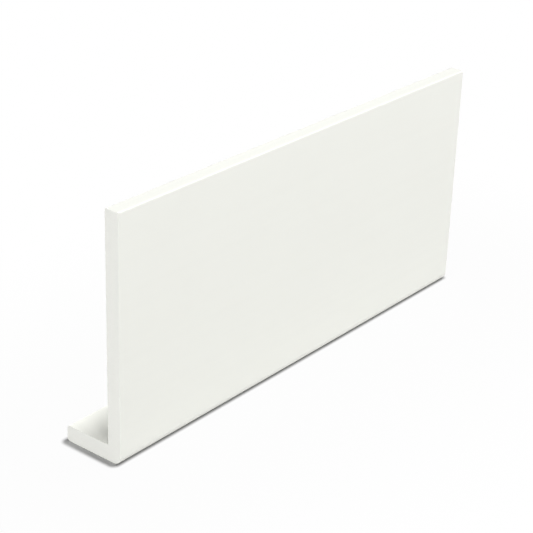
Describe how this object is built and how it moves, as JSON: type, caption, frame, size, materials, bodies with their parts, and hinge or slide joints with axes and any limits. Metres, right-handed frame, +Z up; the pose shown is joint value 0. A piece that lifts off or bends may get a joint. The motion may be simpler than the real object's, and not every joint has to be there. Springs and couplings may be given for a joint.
{
  "type": "fascia board",
  "caption": "White foamed PVC fascia cover board: a tall flat plate with a square leg turned back under it along the bottom edge, sawn to a short length.",
  "frame": {"origin": "middle of the rectangle that the board covers on the floor: midway between the saw cuts, midway between the plate's face and the leg's tip, on the underside of the leg", "axes": "+X along the length, seen from the front from left to right; +Y from the plate's face towards the leg's tip, so the face looks along -Y; +Z up the plate"},
  "size_m": [0.32, 0.041, 0.15],
  "materials": {
    "white_pvc": "satin white skin on all long faces, matt saw-cut ends"
  },
  "bodies": {
    "root": {"cover_board": "white_pvc"}
  },
  "joints": []
}
